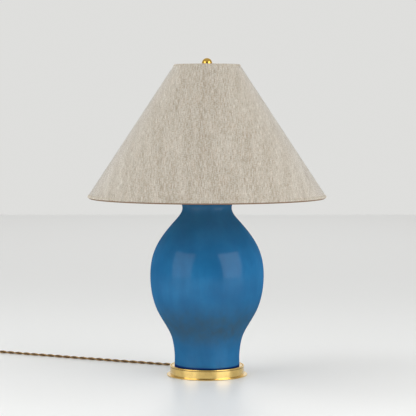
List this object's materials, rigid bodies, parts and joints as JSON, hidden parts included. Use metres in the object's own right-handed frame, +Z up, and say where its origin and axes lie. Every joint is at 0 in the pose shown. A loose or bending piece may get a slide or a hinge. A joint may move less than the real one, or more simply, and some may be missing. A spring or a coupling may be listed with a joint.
{
  "type": "table lamp",
  "caption": "Glazed ginger jar table lamp on a turned brass base, with a tapered linen shade on a harp, a ball finial, a turn-knob socket and a twisted cloth cord.",
  "frame": {"origin": "middle of the base on the table, on the lamp's axis", "axes": "+Z up the lamp pipe, -Y towards the front, +X to the right seen from the front; the cord leaves at the back and runs to the left"},
  "size_m": [0.9432, 0.6658, 0.7428],
  "materials": {
    "felt": "matt green-black felt",
    "base_brass": "lacquered turned brass, fine turning lines",
    "fitting_brass": "satin brass",
    "finial_brass": "polished brass",
    "contact_brass": "plain stamped brass",
    "steel": "zinc plated",
    "blue_glaze": "glossy blue glaze, pooled dark at the foot",
    "rubber": "soft black",
    "card": "waxed card tube",
    "phenolic": "dark moulded",
    "aluminium": "rolled thin sheet",
    "bushing_plastic": "brown moulded",
    "wire_black": "insulation",
    "wire_white": "insulation",
    "gold_cloth": "braided rayon, twisted pair",
    "tie_cloth": "woven strap",
    "plug_plastic": "brown moulded",
    "linen": "oatmeal slub linen",
    "liner_plastic": "white styrene",
    "edge_cloth": "linen edge tape",
    "bulb_black": "black glass",
    "opal_glass": "white opal"
  },
  "bodies": {
    "root": {"felt_pad": "felt", "base_plinth": "base_brass", "bottom_washer": "steel", "bottom_nut": "steel", "jar": "blue_glaze", "cap_gasket": "rubber", "vase_cap": "fitting_brass", "threaded_rod": "steel", "check_ring": "fitting_brass", "neck_tube": "fitting_brass", "lock_nut": "fitting_brass", "harp_saddle": "fitting_brass", "socket_cap": "fitting_brass", "socket_shell": "fitting_brass", "socket_insulator": "card", "socket_block": "phenolic", "socket_screw_shell": "aluminium", "socket_centre_contact": "contact_brass", "socket_terminal_screws": "contact_brass", "cord_bushing": "bushing_plastic", "wire_live": "wire_black", "wire_neutral": "wire_white", "cord": "gold_cloth", "cord_coil": "gold_cloth", "cord_tie": "tie_cloth", "plug_body": "plug_plastic", "plug_blades": "contact_brass"},
    "harp": {"harp_bow": "fitting_brass"},
    "harp_sleeve_left": {"harp_sleeve_left": "fitting_brass"},
    "harp_sleeve_right": {"harp_sleeve_right": "fitting_brass"},
    "harp_stud": {"harp_stud": "fitting_brass"},
    "shade": {"shade_linen": "linen", "shade_liner": "liner_plastic", "shade_bottom_trim": "edge_cloth", "shade_top_trim": "edge_cloth", "shade_bottom_ring": "steel", "shade_fitter": "fitting_brass"},
    "finial_washer": {"finial_washer": "fitting_brass"},
    "finial": {"finial": "finial_brass"},
    "switch_knob": {"switch_knob": "phenolic"},
    "bulb_contact": {"bulb_contact": "contact_brass"},
    "bulb": {"bulb_insulator": "bulb_black", "bulb_screw_cap": "aluminium", "bulb_glass": "opal_glass"}
  },
  "joints": [
    {"name": "harp_lift", "type": "slide", "parent": "root", "child": "harp", "axis": [0, 0, 1], "range_m": [0, 0.018]},
    {"name": "sleeve_left_slide", "type": "slide", "parent": "harp", "child": "harp_sleeve_left", "axis": [0, 0, 1], "range_m": [0, 0.02]},
    {"name": "sleeve_right_slide", "type": "slide", "parent": "harp", "child": "harp_sleeve_right", "axis": [0, 0, 1], "range_m": [0, 0.02]},
    {"name": "shade_swivel", "type": "hinge", "parent": "harp", "child": "harp_stud", "pos_m": [0, 0, 0.7064], "axis": [0, 0, 1], "continuous": true},
    {"name": "shade_lift", "type": "slide", "parent": "harp_stud", "child": "shade", "axis": [0, 0, 1], "range_m": [0, 0.33]},
    {"name": "finial_turn", "type": "hinge", "parent": "shade", "child": "finial_washer", "pos_m": [0, 0, 0.7115], "axis": [0, 0, 1], "range_deg": [0, 2700]},
    {"name": "finial_lift", "type": "slide", "parent": "finial_washer", "child": "finial", "axis": [0, 0, 1], "range_m": [0, 0.0071]},
    {"name": "switch_knob_turn", "type": "hinge", "parent": "root", "child": "switch_knob", "pos_m": [0, -0.03, 0.473], "axis": [0, -1, 0], "continuous": true},
    {"name": "bulb_lift", "type": "slide", "parent": "root", "child": "bulb_contact", "axis": [0, 0, 1], "range_m": [0, 0.0182]},
    {"name": "bulb_turn", "type": "hinge", "parent": "bulb_contact", "child": "bulb", "pos_m": [0, 0, 0.5], "axis": [0, 0, 1], "range_deg": [0, 1800]}
  ],
  "couplings": [
    {"joint": "finial_lift", "follows": "finial_turn", "m_per_rad": 0.00014972},
    {"joint": "bulb_lift", "follows": "bulb_turn", "m_per_rad": 0.00057757}
  ]
}
